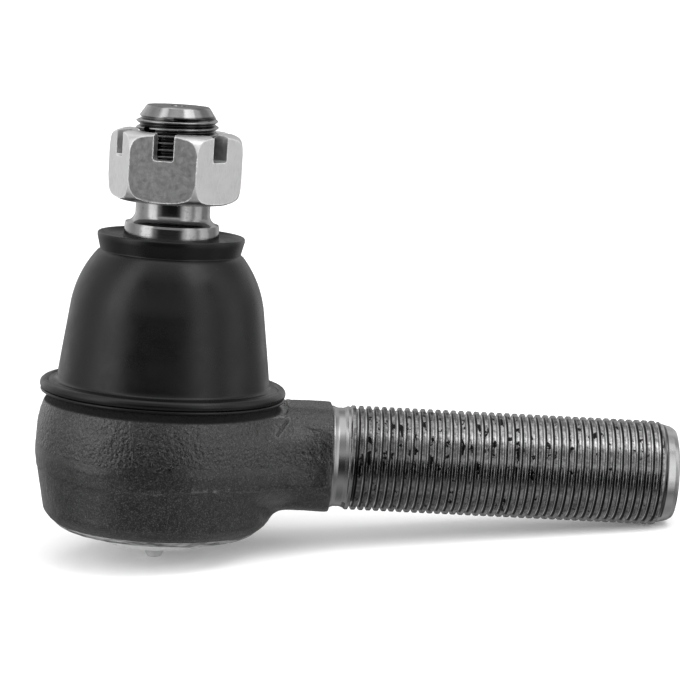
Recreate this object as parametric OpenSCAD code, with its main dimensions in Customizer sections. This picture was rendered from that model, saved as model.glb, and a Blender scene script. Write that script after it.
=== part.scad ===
// Heavy-duty tie rod end.
// Frame: origin at the centre of the ball, +Z up the stud, +X out along the threaded shank.
// All sizes are in millimetres.

/* [Shank] */
// Major diameter of the shank thread, 1 1/8 inch
shank_d = 28.575; // [27:0.005:29]
// Distance from the stud axis to the end of the shank
shank_end_x = 141.3; // [120:0.1:180]
// Where the shank thread starts
thread_start_x = 50.3; // [49:0.1:60]
// Length of the cone at the end of the shank
end_cone = 5; // [2:0.1:8]
// Diameter of the flat end of the shank
shank_tip_d = 24.4; // [20:0.1:27]
// Diameter of the relief groove behind the thread
groove_d = 27; // [24:0.1:28]

/* [Forging] */
// Largest diameter of the round body
body_d = 67.6; // [66:0.1:72]
// Height of the neck across its flats
neck_h = 28.6; // [28:0.1:31]
// Where the forged neck ends
neck_end_x = 46.5; // [44:0.1:48]
// Width of the bevel along each edge of the neck
neck_bevel = 6; // [3:0.1:8]
// Height of the machined land that carries the boot
land_z = 14.7; // [14:0.1:15]
// Diameter of the machined land
land_d = 62.4; // [60:0.1:63]
// Diameter of the spigot that the boot ring is pressed on
spigot_d = 54; // [50:0.1:55]
// Height of the spigot above the land
spigot_h = 1.9; // [1.5:0.1:2]
// Lowest face of the rolled lip
lip_z = -22.4; // [-23:0.1:-22]
// Opening that the rolled lip leaves around the cover plate
lip_hole_d = 42.8; // [42:0.1:44]

/* [Socket] */
// Diameter of the ball, 1 1/2 inch
ball_d = 38.1; // [37:0.1:38.5]
// Radial clearance between the ball and its bearings
ball_gap = 0.06; // [0.03:0.01:0.1]
// Bore of the housing that holds the two bearings
bore_d = 45; // [44.6:0.1:45.4]
// Top of the bearing bore
bore_top_z = 9.6; // [9.5:0.1:10]
// Counterbore for the cover plate
cover_bore_d = 49; // [48.6:0.1:49.4]
// Step that the cover plate rests against
cover_step_z = -18; // [-18.2:0.1:-17.9]
// Thickness of the cover plate
cover_t = 2.6; // [2.2:0.1:2.6]
// Lowest face of the dished cover plate
cover_low_z = -25.7; // [-26.2:0.1:-25.4]

/* [Ball stud] */
// Diameter of the neck above the ball
stud_neck_d = 21; // [20:0.1:21.4]
// Large diameter of the 1 in 8 taper
taper_big_d = 28.65; // [28:0.05:29]
// Small diameter of the taper
taper_small_d = 25.4; // [25:0.05:25.6]
// Height of the small end of the taper
taper_top_z = 61.5; // [61:0.1:62]
// Major diameter of the stud thread, 7/8 inch
stud_thread_d = 22.225; // [22:0.005:22.4]
// Diameter of the relief below the thread
relief_d = 20.1; // [19:0.1:21]
// Height of the flat end of the stud
stud_top_z = 93.2; // [91:0.1:96]
// Diameter of the flat end of the stud
stud_tip_d = 16.8; // [15:0.1:19]
// Diameter of the end cone where it meets the thread
stud_cone_d = 20.8; // [20:0.1:22]
// Diameter of the cross hole for a split pin
pin_hole_d = 4.4; // [3:0.1:5]
// Height of the cross hole
pin_hole_z = 85.4; // [84:0.1:87]
// Direction of the cross hole about the stud
pin_hole_angle = 42; // [0:1:179]

/* [Nut] */
// Width across the flats, 1 1/4 inch
nut_af = 31.75; // [31:0.01:33.4]
// Height of the lower face of the nut
nut_low_z = 67.7; // [67:0.1:68]
// Thickness of the nut
nut_h = 18.7; // [18:0.1:19]
// Width of each slot
slot_w = 5.5; // [4:0.1:6]
// Depth of each slot
slot_depth = 7; // [4:0.1:8]
// Direction of one flat about the stud
nut_angle = 17; // [0:1:59]
// Diameter of the flat ring on each face, inside the chamfer
nut_face_d = 29.4; // [28:0.1:31]

/* [Boot] */
// Height of the top rim of the boot
rim_z = 58.6; // [58.4:0.1:59]
// Diameter of the top rim
rim_d = 39.8; // [39:0.1:41]
// Thickness of the rubber wall
boot_wall = 2.6; // [2:0.1:2.8]
// Hole in the top of the boot
boot_hole_d = 26.8; // [26.7:0.1:27.2]
// Largest diameter of the bead around the base
bead_d = 66.7; // [66:0.1:67]

/* [Hidden] */
$fn = 96;
eps = 0.01;
taper_low_z = taper_top_z - (taper_big_d - taper_small_d) * 8;
stud_neck_top_z = 24;
ball_flat_z = -15;
thread_low_z = 68.2;
stud_cone_z = stud_top_z - 3.1;
bearing_d = bore_d - 0.1;
bearing_split_z = -1;
seat_top_z = -2.6;
seat_low_z = -16.4;
cover_floor_z = cover_low_z + cover_t;
fitting_hex_z = -26.9;
fitting_tip_z = -30;
fitting_ball_z = fitting_tip_z + 2.05;
bell_centre = [-2.9, 34.5];
bell_r = 29;
bell_top_z = 53.8;
boot_foot_z = 17.9;
boot_base_z = land_z + 0.1;
ring_gap = 0.1;
top_ring = [30.4, 35.2, 54.5, 56.1];
base_ring_leg = 1.2;
base_ring_w = 4;
base_ring_t = 0.85;

// Points along an arc of radius r about c, from angle a0 to a1
function arc(c, r, a0, a1, n = 12) =
    [for (i = [0 : n]) c + r * [cos(a0 + (a1 - a0) * i / n), sin(a0 + (a1 - a0) * i / n)]];

// Angle on the bell's arc of radius r at height z
function bell_angle(r, z) = asin((z - bell_centre[1]) / r);

// One ring of points around the wire of a coil, at turn fraction t
function wire_ring(t, r, z, wire_r, turns, sides) =
    [for (j = [0 : sides - 1])
        let (b = 360 * j / sides, q = r + wire_r * cos(b), a = 360 * turns * t)
        [q * cos(a), q * sin(a), z + wire_r * sin(b)]];

// Wire coil whose centre line runs from radius r0 at z0 to radius r1 at z1
module coil(r0, r1, z0, z1, turns, wire_r, per_turn = 24, sides = 10) {
    n = turns * per_turn;
    points = [for (i = [0 : n]) each
        wire_ring(i / n, r0 + (r1 - r0) * i / n, z0 + (z1 - z0) * i / n, wire_r, turns, sides)];
    skin = [for (i = [0 : n - 1]) for (j = [0 : sides - 1])
        let (k = (j + 1) % sides, a = i * sides, b = a + sides)
        each [[a + j, b + j, b + k], [a + j, b + k, a + k]]];
    start = [[for (j = [0 : sides - 1]) j]];
    finish = [[for (j = [0 : sides - 1]) n * sides + sides - 1 - j]];
    polyhedron(points, concat(skin, start, finish));
}

// Solid of revolution about +Z from a list of [radius, z] points
module turned(points) {
    rotate_extrude() polygon(points);
}

// Bar along +X from x0 to x1 with a square section whose edges are bevelled
module bevelled_bar(x0, x1, across, bevel) {
    h = across / 2;
    c = h - bevel;
    translate([x0, 0, 0]) rotate([90, 0, 90])
        linear_extrude(x1 - x0)
            polygon([[h, -c], [h, c], [c, h], [-c, h], [-h, c], [-h, -c], [-c, -h], [c, -h]]);
}

// Round body of the forging, rough sides from the land down to the rolled lip
module forged_body() {
    r = body_d / 2;
    side = 33.8 - r;
    turned(concat(
        [[0, land_z], [land_d / 2 - 0.4, land_z], [land_d / 2, land_z - 0.4], [land_d / 2, 12.4]],
        [[31.9 - side, 12.4], [32.8 - side, 9.8], [33.5 - side, 6.5], [r, 2.8], [r, -2]],
        [[33.2 - side, -5.8], [31.6 - side, -13.8], [30.9 - side, -17.5]],
        arc([25.4, -15.1], 5.9, -24, -52, 4),
        arc([23.9, -16.3], 6.1, -45, -90, 5),
        [[0, lip_z]]));
}

// Everything that is bored out of the housing to take the ball and its bearings
module socket_bores() {
    throat_z = land_z + spigot_h;
    translate([0, 0, cover_step_z - eps]) cylinder(d = bore_d, h = bore_top_z - cover_step_z + eps);
    translate([0, 0, bore_top_z - eps]) cylinder(r1 = 19, r2 = 22.3, h = throat_z - bore_top_z + 2 * eps);
    translate([0, 0, cover_step_z - cover_t - 0.1]) cylinder(d = cover_bore_d, h = cover_t + 0.1);
    translate([0, 0, lip_z - 1]) cylinder(d = lip_hole_d, h = 10);
    translate([0, 0, cover_step_z - eps]) cylinder(r = 24.35, h = 1.5);
}

// Forged housing with its neck and threaded shank
module housing() {
    shank_r = shank_d / 2;
    cone_x = shank_end_x - end_cone;
    color("dimgray") difference() {
        union() {
            forged_body();
            translate([0, 0, land_z - eps]) cylinder(d = spigot_d, h = spigot_h + eps);
            difference() {
                bevelled_bar(10, neck_end_x, neck_h, neck_bevel);
                translate([0, 0, 12.4]) cylinder(d = bead_d + 2, h = 10);
            }
            rotate([0, 90, 0]) cylinder(d = groove_d, h = thread_start_x + eps);
            translate([thread_start_x, 0, 0]) rotate([0, 90, 0])
                cylinder(r = shank_r, h = cone_x - thread_start_x);
            translate([cone_x - eps, 0, 0]) rotate([0, 90, 0])
                cylinder(r1 = shank_r, r2 = shank_tip_d / 2, h = end_cone + eps);
        }
        socket_bores();
    }
}

// Hardened ring above the ball, pressed into the housing
module upper_bearing() {
    color("silver") difference() {
        translate([0, 0, bearing_split_z]) cylinder(d = bearing_d, h = bore_top_z - bearing_split_z - eps);
        sphere(r = ball_d / 2 + ball_gap);
        cylinder(r = 16.7, h = 20);
    }
}

// Seat below the ball, pushed up by the spring
module lower_bearing() {
    color("gainsboro") difference() {
        translate([0, 0, seat_low_z]) cylinder(d = bearing_d, h = seat_top_z - seat_low_z);
        sphere(r = ball_d / 2 + ball_gap);
        translate([0, 0, seat_low_z - 1]) cylinder(r = 9, h = 10);
        for (a = [45 : 90 : 315]) rotate(a)
            translate([16.5, -1, seat_top_z - 1.2]) cube([8, 2, 2]);
    }
}

// Conical spring between the seat and the cover plate
module preload_spring() {
    wire_r = 1.45;
    color("darkslategray")
        coil(10.8, 16, cover_floor_z + wire_r + 0.05, seat_low_z - wire_r - 0.05, 2, wire_r);
}

// Dished plate held by the rolled lip
module cover_plate() {
    top = cover_step_z - 0.05;
    low = top - cover_t + 0.05;
    color("lightgray") difference() {
        turned([[0, cover_floor_z], [13, cover_floor_z], [19.6, top], [24.4, top], [24.4, low],
                [20.6, low], [17.4, cover_low_z + 1.4], [14.4, cover_low_z], [0, cover_low_z]]);
        translate([0, 0, cover_low_z - 1]) cylinder(r = 3.2, h = 10);
    }
}

// Rubber ring that seals the cover plate
module cover_seal() {
    color("black") rotate_extrude() translate([23.55, cover_step_z + 0.75]) circle(r = 0.7, $fn = 32);
}

// Hexagonal grease nipple screwed into the cover plate
module grease_fitting() {
    color("goldenrod") difference() {
        union() {
            translate([0, 0, cover_low_z]) cylinder(r = 3.2, h = 4.4);
            translate([0, 0, fitting_hex_z]) rotate(10)
                cylinder(d = 7.9 / cos(30), h = cover_low_z - fitting_hex_z, $fn = 6);
            turned([[0, fitting_hex_z + eps], [2.3, fitting_hex_z + eps], [2.3, fitting_tip_z + 2.8],
                    [3.2, fitting_tip_z + 2.5], [3.2, fitting_tip_z + 2.3], [1.95, fitting_tip_z],
                    [0, fitting_tip_z]]);
        }
        translate([0, 0, fitting_tip_z - 1]) cylinder(r = 0.8, h = 12);
        translate([0, 0, fitting_tip_z + 1.6]) cylinder(r = 1.35, h = 6.2);
        translate([0, 0, fitting_tip_z + 0.9]) cylinder(r1 = 0.8, r2 = 1.35, h = 0.7 + eps);
    }
}

// Ball that closes the grease nipple
module fitting_ball() {
    color("silver") translate([0, 0, fitting_ball_z]) sphere(r = 1.1);
}

// Spring that holds the ball on its seat in the grease nipple
module fitting_spring() {
    color("silver") coil(0.95, 0.95, fitting_ball_z + 1.35, fitting_tip_z + 7.6, 5, 0.2, 16, 8);
}

// Steel ring inside the base of the boot, pressed on the spigot
module boot_base_ring() {
    r = spigot_d / 2 + 0.02;
    color("gray") turned([[r, boot_base_z], [r + base_ring_w, boot_base_z],
        [r + base_ring_w, boot_base_z + base_ring_t], [r + base_ring_leg, boot_base_z + base_ring_t],
        [r + base_ring_leg, land_z + spigot_h - 0.1], [r, land_z + spigot_h - 0.1]]);
}

// Rubber bell that keeps the grease in, thick at the collar and at the base
module dust_boot() {
    rim_r = rim_d / 2;
    inner_r = bell_r - boot_wall;
    leg_r = spigot_d / 2 + base_ring_leg + 0.15;
    base_r = spigot_d / 2 + base_ring_w + 0.15;
    ledge_z = boot_base_z + base_ring_t + ring_gap;
    bead_c = [bead_d / 2 - 1.5, boot_base_z + 1.5];
    color([0.12, 0.12, 0.12]) difference() {
        turned(concat(
            [[base_r, boot_base_z]],
            arc(bead_c, 1.5, -90, 110, 14),
            [[31.2, boot_foot_z - 0.5], [30.9, boot_foot_z], [28.9, boot_foot_z], [28.2, 20.5], [27.6, 24.5]],
            arc(bell_centre, bell_r, bell_angle(bell_r, 38), bell_angle(bell_r, bell_top_z)),
            arc([rim_r - 0.7, rim_z - 0.7], 0.7, 0, 110, 6),
            [[18.2, rim_z - 0.7], [boot_hole_d / 2, rim_z - 1.9], [boot_hole_d / 2, 53.4], [16.4, 52.2]],
            arc(bell_centre, inner_r, bell_angle(inner_r, 51), bell_angle(inner_r, 38)),
            [[25, 24], [25, ledge_z + 1], [leg_r, ledge_z + 1], [leg_r, ledge_z], [base_r, ledge_z]]));
        turned([[top_ring[0] / 2 - ring_gap, top_ring[2] - ring_gap],
                [top_ring[1] / 2 + ring_gap, top_ring[2] - ring_gap],
                [top_ring[1] / 2 + ring_gap, top_ring[3] + ring_gap],
                [top_ring[0] / 2 - ring_gap, top_ring[3] + ring_gap]]);
    }
}

// Steel ring moulded into the collar of the boot
module boot_top_ring() {
    color("gray") difference() {
        translate([0, 0, top_ring[2]]) cylinder(d = top_ring[1], h = top_ring[3] - top_ring[2]);
        translate([0, 0, top_ring[2] - 1]) cylinder(d = top_ring[0], h = 5);
    }
}

// Ball and tapered stud in one piece
module ball_stud() {
    neck_r = stud_neck_d / 2;
    relief_r = relief_d / 2;
    thread_r = stud_thread_d / 2;
    small_r = taper_small_d / 2;
    color("silver") difference() {
        union() {
            intersection() {
                sphere(d = ball_d);
                translate([0, 0, ball_flat_z + 30]) cube([60, 60, 60], center = true);
            }
            turned(concat(
                [[0, 0], [neck_r, 0], [neck_r, stud_neck_top_z]],
                arc([neck_r + 5, stud_neck_top_z], 5, 180, 125, 6),
                [[taper_big_d / 2 - 1.2, taper_low_z - 1.6], [taper_big_d / 2, taper_low_z]],
                [[small_r, taper_top_z]],
                arc([relief_r + 3, taper_top_z + 3.1], 3, -100, -180, 6),
                [[relief_r, thread_low_z], [0, thread_low_z]]));
            translate([0, 0, thread_low_z - eps]) cylinder(r1 = relief_r, r2 = thread_r, h = 1);
            translate([0, 0, thread_low_z + 0.9]) cylinder(r = thread_r, h = stud_cone_z - thread_low_z - 0.9);
            translate([0, 0, stud_cone_z - eps])
                cylinder(r1 = stud_cone_d / 2, r2 = stud_tip_d / 2, h = stud_top_z - stud_cone_z + eps);
        }
        translate([0, 0, stud_top_z - 3]) cylinder(r = 1.2, h = 4);
        translate([0, 0, stud_top_z - 1.6]) cylinder(r1 = 1.2, r2 = 2.2, h = 1.6 + eps);
        translate([0, 0, pin_hole_z]) rotate([0, 90, pin_hole_angle]) cylinder(d = pin_hole_d, h = 40, center = true);
    }
}

// Slotted hexagon nut, both faces chamfered in two steps
module slotted_nut() {
    bore_r = stud_thread_d / 2 + 0.05;
    corner_r = nut_af / 2 / cos(30);
    top = nut_low_z + nut_h;
    half_r = nut_face_d / 2 + 1.8;
    half_h = 0.75;
    chamfer = 2.5;
    color("silver") difference() {
        intersection() {
            translate([0, 0, nut_low_z]) rotate(nut_angle + 30) cylinder(r = corner_r, h = nut_h, $fn = 6);
            turned([[0, nut_low_z], [nut_face_d / 2, nut_low_z], [half_r, nut_low_z + half_h],
                    [corner_r, nut_low_z + chamfer], [corner_r, top - chamfer], [half_r, top - half_h],
                    [nut_face_d / 2, top], [0, top]]);
        }
        translate([0, 0, nut_low_z - 1]) cylinder(r = bore_r, h = nut_h + 2);
        translate([0, 0, nut_low_z - eps]) cylinder(r1 = bore_r + 1, r2 = bore_r, h = 1);
        translate([0, 0, top - 1]) cylinder(r1 = bore_r, r2 = bore_r + 1, h = 1 + eps);
        for (a = [0 : 60 : 300]) rotate(nut_angle + a)
            translate([8, -slot_w / 2, top - slot_depth]) cube([20, slot_w, slot_depth + 1]);
    }
}

housing();
upper_bearing();
lower_bearing();
preload_spring();
cover_plate();
cover_seal();
grease_fitting();
fitting_ball();
fitting_spring();
boot_base_ring();
dust_boot();
boot_top_ring();
ball_stud();
slotted_nut();
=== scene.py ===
import math

import bmesh
import bpy
import numpy as np
import openvdb
from mathutils import Matrix, Vector, noise


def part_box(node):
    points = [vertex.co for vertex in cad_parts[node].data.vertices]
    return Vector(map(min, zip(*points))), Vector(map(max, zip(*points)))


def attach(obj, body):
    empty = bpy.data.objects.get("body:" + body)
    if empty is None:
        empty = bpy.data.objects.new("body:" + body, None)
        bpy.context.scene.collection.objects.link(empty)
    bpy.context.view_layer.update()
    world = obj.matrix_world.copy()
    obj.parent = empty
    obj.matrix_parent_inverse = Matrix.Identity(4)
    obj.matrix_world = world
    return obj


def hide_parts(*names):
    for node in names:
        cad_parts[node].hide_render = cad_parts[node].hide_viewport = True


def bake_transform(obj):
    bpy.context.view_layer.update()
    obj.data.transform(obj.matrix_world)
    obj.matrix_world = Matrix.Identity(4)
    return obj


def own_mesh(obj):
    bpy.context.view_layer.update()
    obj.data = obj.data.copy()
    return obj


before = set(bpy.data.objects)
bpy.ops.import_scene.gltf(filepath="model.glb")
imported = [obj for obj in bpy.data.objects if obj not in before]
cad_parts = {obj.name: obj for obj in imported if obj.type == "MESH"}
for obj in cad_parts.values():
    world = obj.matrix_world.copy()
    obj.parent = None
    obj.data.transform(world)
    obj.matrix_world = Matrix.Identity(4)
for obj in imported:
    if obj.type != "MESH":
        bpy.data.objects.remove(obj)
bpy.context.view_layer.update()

MM = 0.001
TAU = 2 * math.pi

# ---------------------------------------------------------------- sizes, in millimetres, from the frame


def node_box(node):
    """Lowest and highest corners of a CAD node, in millimetres."""
    low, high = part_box(node)
    return np.array(low) / MM, np.array(high) / MM


HOUSING_LOW, HOUSING_HIGH = node_box("housing")
BOOT_HIGH = node_box("dust_boot")[1]
STUD_HIGH = node_box("ball_stud")[1]
NUT_LOW, NUT_HIGH = node_box("slotted_nut")
COVER_LOW, COVER_HIGH = node_box("cover_plate")
NIPPLE_LOW, NIPPLE_HIGH = node_box("grease_fitting")

# Housing: end of the shank, rolled lip below, and the land on top that carries the boot's base
SHANK_END_X = HOUSING_HIGH[0]
LIP_Z = HOUSING_LOW[2]
LAND_Z = HOUSING_HIGH[2] - 1.9
LAND_R = 31.2
RIM_Z = BOOT_HIGH[2]
BEAD_R = BOOT_HIGH[0]
STUD_TOP_Z = STUD_HIGH[2]
NUT_LOW_Z, NUT_TOP_Z = NUT_LOW[2], NUT_HIGH[2]

# Hexagons (across flats), how far the nut is turned, its clearance on the stud, and its slots
NUT_AF = 31.75
NUT_ANGLE = 17
NUT_BORE_GAP = 0.05
SLOT_HALF_WIDTH, SLOT_DEPTH, SLOT_CORNER = 2.75, 7.0, 0.7
NIPPLE_AF = 7.9

# Neck and shank: crest radius, pitch, relief groove behind the thread and cone at the end
SHANK_R = 14.2875
SHANK_PITCH = 25.4 / 12
THREAD_START_X = 50.3
GROOVE_R = 13.5
NECK_END_X = 46.5
NECK_HALF = 14.3
END_CONE = 5.0
SHANK_SEGMENTS = 200

# Stud: thread, 1 in 8 taper, relief below the thread, ball, end cone and split-pin hole
STUD_THREAD_R = 11.1125
STUD_PITCH = 25.4 / 14
TAPER_SMALL_R, TAPER_BIG_R = 12.7, 14.325
TAPER_LOW_Z, TAPER_TOP_Z = 35.5, 61.5
RELIEF_R = 10.05
BALL_R, BALL_FLAT_Z, BALL_NECK_R = 19.05, -15, 10.5
STUD_CONE = 3.0
STUD_SEGMENTS = 176
PIN_HOLE_ANGLE, PIN_HOLE_Z, PIN_HOLE_R = 42, 85.4, 2.2

# Thread forms over one pitch: (place as a share of the pitch, cut as a share of the depth)
STUD_THREAD = [(-0.50, 1.0), (-0.44, 0.97), (-0.38, 0.84), (-0.26, 0.52), (-0.12, 0.13), (-0.075, 0.03),
               (-0.03, 0.0), (0.03, 0.0), (0.075, 0.03), (0.12, 0.13), (0.26, 0.52), (0.38, 0.84),
               (0.44, 0.97)]
SHANK_THREAD = [(-0.50, 1.0), (-0.465, 0.985), (-0.43, 0.94), (-0.395, 0.86), (-0.345, 0.64),
                (-0.295, 0.40), (-0.25, 0.17), (-0.21, 0.04), (-0.16, 0.004), (-0.05, 0.0), (0.05, 0.0),
                (0.16, 0.004), (0.21, 0.04), (0.25, 0.17), (0.295, 0.40), (0.345, 0.64), (0.395, 0.86),
                (0.43, 0.94), (0.465, 0.985)]
STUD_THREAD_DEPTH, SHANK_THREAD_DEPTH = 1.04, 0.98

# Height where the two boot pieces meet, wall of the bell, and how fine its outline is drawn
BOOT_SPLIT = 27.5
BOOT_WALL = 2.2
BOOT_STEP, BOOT_SEGMENTS = 0.9, 216

# ---------------------------------------------------------------- mesh helpers


def new_object(name, verts, faces, smooth=True):
    """A mesh object from points in millimetres."""
    mesh = bpy.data.meshes.new(name)
    mesh.from_pydata((np.asarray(verts, float) * MM).tolist(), [], faces)
    mesh.update()
    obj = bpy.data.objects.new(name, mesh)
    bpy.context.collection.objects.link(obj)
    if smooth:
        mesh.shade_smooth()
    return obj


def arc(cx, cy, r, a0, a1, n):
    """Points of an arc, from angle a0 to a1 in degrees."""
    a = np.radians(np.linspace(a0, a1, n))
    return [(cx + r * math.cos(t), cy + r * math.sin(t)) for t in a]


def refine(points, step):
    """The same outline with extra points, no further apart than step."""
    out = [points[0]]
    for p, q in zip(points, points[1:]):
        n = max(1, int(math.ceil(math.dist(p, q) / step)))
        out += [(p[0] + (q[0] - p[0]) * k / n, p[1] + (q[1] - p[1]) * k / n) for k in range(1, n + 1)]
    return out


def revolve(name, outline, segments, closed=False, axis="Z"):
    """Surface of revolution from (radius, height) points; closed joins the last point to the first."""
    outline = np.array(outline, float)
    a = np.arange(segments) * TAU / segments
    r, h = outline[:, :1], outline[:, 1:]
    x, y, z = r * np.cos(a), r * np.sin(a), np.repeat(h, segments, 1)
    pts = np.stack([x, y, z], -1) if axis == "Z" else np.stack([z, x, y], -1)
    rows = len(outline)
    faces = []
    for i in range(rows if closed else rows - 1):
        p, q = i * segments, ((i + 1) % rows) * segments
        faces += [(p + k, p + (k + 1) % segments, q + (k + 1) % segments, q + k) for k in range(segments)]
    obj = new_object(name, pts.reshape(-1, 3), faces)
    fix_normals(obj)
    return obj


def fix_normals(obj, merge=0.0):
    """Points normals outwards, after merging points closer than merge millimetres."""
    bm = bmesh.new()
    bm.from_mesh(obj.data)
    if merge:
        bmesh.ops.remove_doubles(bm, verts=bm.verts, dist=merge * MM)
        bmesh.ops.dissolve_degenerate(bm, edges=bm.edges, dist=merge * MM)
    bmesh.ops.recalc_face_normals(bm, faces=bm.faces)
    bm.to_mesh(obj.data)
    bm.free()
    obj.data.update()


def sharpen(obj, angle=35):
    """Smooth shading that keeps edges over the angle sharp."""
    obj.data.set_sharp_from_angle(angle=math.radians(angle))


def apply_modifiers(obj):
    """Replaces the mesh by its evaluated self, so that no modifier is left."""
    graph = bpy.context.evaluated_depsgraph_get()
    mesh = bpy.data.meshes.new_from_object(obj.evaluated_get(graph))
    old = obj.data
    obj.modifiers.clear()
    obj.data = mesh
    bpy.data.meshes.remove(old)
    mesh.name = obj.name


def join(name, parts):
    """One object from several meshes."""
    bm = bmesh.new()
    for part in parts:
        bm.from_mesh(part.data)
    mesh = bpy.data.meshes.new(name)
    bm.to_mesh(mesh)
    bm.free()
    for part in parts:
        bpy.data.objects.remove(part)
    obj = bpy.data.objects.new(name, mesh)
    bpy.context.collection.objects.link(obj)
    return obj


def boolean(obj, cutter, operation):
    """Applies an exact boolean and removes the cutter."""
    mod = obj.modifiers.new("cut", "BOOLEAN")
    mod.operation, mod.object, mod.solver = operation, cutter, "EXACT"
    apply_modifiers(obj)
    bpy.data.objects.remove(cutter)


def float_attribute(obj, name, values):
    """Stores one number per vertex for the materials to read."""
    layer = obj.data.attributes.new(name, "FLOAT", "POINT")
    layer.data.foreach_set("value", np.asarray(values, np.float32))


def smoothstep(x, low, high):
    """0 below low, 1 above high, smooth between."""
    t = np.clip((x - low) / (high - low), 0, 1)
    return t * t * (3 - 2 * t)


# ---------------------------------------------------------------- threads


def threaded_surface(name, axis, span, pitch, depth, hand, shape, envelope, fade, segments, phase=0.0):
    """A real helical thread over span (low, high). envelope(h) is the radius before threading,
    fade(h) how deep the thread is cut there, 0 to 1. hand is +1 for right-hand, -1 for left-hand."""
    low, high = span
    turns = int((high - low) / pitch) + 4
    t = np.array([p[0] for p in shape])
    d = np.array([p[1] for p in shape])
    rows = (np.arange(turns)[:, None] - 2 + t[None, :] + phase).reshape(-1)
    cut = np.tile(d, turns)
    a = np.arange(segments + 1) * TAU / segments
    h = np.clip(low + pitch * (rows[:, None] + hand * a[None, :] / TAU), low, high)
    r = envelope(h) - depth * cut[:, None] * fade(h)
    x, y = r * np.cos(a), r * np.sin(a)
    pts = np.stack([x, y, h], -1) if axis == "Z" else np.stack([h, x, y], -1)
    n = segments + 1
    faces = [(i * n + k, i * n + k + 1, (i + 1) * n + k + 1, (i + 1) * n + k)
             for i in range(len(rows) - 1) for k in range(segments)]
    obj = new_object(name, pts.reshape(-1, 3), faces)
    fix_normals(obj, merge=0.002)
    return obj


# ---------------------------------------------------------------- materials


def grey(level):
    """A colour from one number."""
    return level, level, level, 1


def fill_ramp(ramp, stops):
    """Gives a colour ramp its (position, level) stops."""
    elements = ramp.color_ramp.elements
    while len(elements) > 1:
        elements.remove(elements[-1])
    elements[0].position, elements[0].color = stops[0][0], grey(stops[0][1])
    for position, level in stops[1:]:
        elements.new(position).color = grey(level)


def math_node(tree, operation, a, b):
    """One math node; a and b are numbers or sockets."""
    node = tree.nodes.new("ShaderNodeMath")
    node.operation = operation
    for socket, value in zip(node.inputs, (a, b)):
        if isinstance(value, (int, float)):
            socket.default_value = value
        else:
            tree.links.new(value, socket)
    return node.outputs["Value"]


class Shader:
    """Short way to build a node tree around one Principled shader."""

    def __init__(self, name, **sockets):
        self.mat = bpy.data.materials.new(name)
        self.mat.use_nodes = True
        self.tree = self.mat.node_tree
        self.bsdf = self.tree.nodes["Principled BSDF"]
        for key, value in sockets.items():
            self.bsdf.inputs[key.replace("_", " ")].default_value = value
        self.place = self.node("ShaderNodeTexCoord").outputs["Object"]

    def node(self, kind, **settings):
        node = self.tree.nodes.new(kind)
        for key, value in settings.items():
            setattr(node, key, value)
        return node

    def link(self, source, target):
        self.tree.links.new(source, target)

    def stretched(self, scale):
        mapping = self.node("ShaderNodeMapping")
        mapping.inputs["Scale"].default_value = scale
        self.link(self.place, mapping.inputs["Vector"])
        return mapping.outputs["Vector"]

    def noise(self, scale, detail=4, rough=0.55, vector=None, distortion=0.0):
        tex = self.node("ShaderNodeTexNoise")
        tex.inputs["Scale"].default_value = scale
        tex.inputs["Detail"].default_value = detail
        tex.inputs["Roughness"].default_value = rough
        tex.inputs["Distortion"].default_value = distortion
        self.link(vector or self.place, tex.inputs["Vector"])
        return tex.outputs["Fac"]

    def cells(self, scale):
        tex = self.node("ShaderNodeTexVoronoi")
        tex.inputs["Scale"].default_value = scale
        self.link(self.place, tex.inputs["Vector"])
        return tex.outputs["Distance"]

    def ramp(self, value, *stops):
        ramp = self.node("ShaderNodeValToRGB")
        fill_ramp(ramp, stops)
        self.link(value, ramp.inputs["Fac"])
        return ramp.outputs["Color"]

    def math(self, operation, a, b=0.0):
        return math_node(self.tree, operation, a, b)

    def mix(self, factor, a, b):
        node = self.node("ShaderNodeMix", data_type="RGBA")
        for socket, value in ((node.inputs["Factor"], factor), (node.inputs["A"], a), (node.inputs["B"], b)):
            if isinstance(value, bpy.types.NodeSocket):
                self.link(value, socket)
            elif socket.type == "RGBA":
                socket.default_value = grey(value)
            else:
                socket.default_value = value
        return node.outputs["Result"]

    def axis(self, name):
        split = self.node("ShaderNodeSeparateXYZ")
        self.link(self.place, split.inputs["Vector"])
        return split.outputs[name]

    def attribute(self, name):
        return self.node("ShaderNodeAttribute", attribute_name=name).outputs["Fac"]

    def colour(self, value):
        self.link(value, self.bsdf.inputs["Base Color"])

    def roughness(self, value):
        self.link(value, self.bsdf.inputs["Roughness"])

    def bump(self, height, distance, strength=1.0):
        node = self.node("ShaderNodeBump")
        node.inputs["Distance"].default_value = distance * MM
        node.inputs["Strength"].default_value = strength
        self.link(height, node.inputs["Height"])
        old = self.bsdf.inputs["Normal"]
        if old.is_linked:
            self.link(old.links[0].from_socket, node.inputs["Normal"])
        self.link(node.outputs["Normal"], old)


def edge_wear_and_highlight(s, width):
    """Mask of the outside edges, about width millimetres wide; the nut paints them pale, partly as wear and
    partly as painted highlight.
    """
    rounded = s.node("ShaderNodeBevel")
    rounded.samples = 6
    rounded.inputs["Radius"].default_value = width * MM
    turn = s.node("ShaderNodeVectorMath", operation="DOT_PRODUCT")
    s.link(rounded.outputs["Normal"], turn.inputs[0])
    s.link(s.node("ShaderNodeNewGeometry").outputs["Normal"], turn.inputs[1])
    return s.ramp(turn.outputs["Value"], (0.965, 1.0), (0.997, 0.0))


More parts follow.
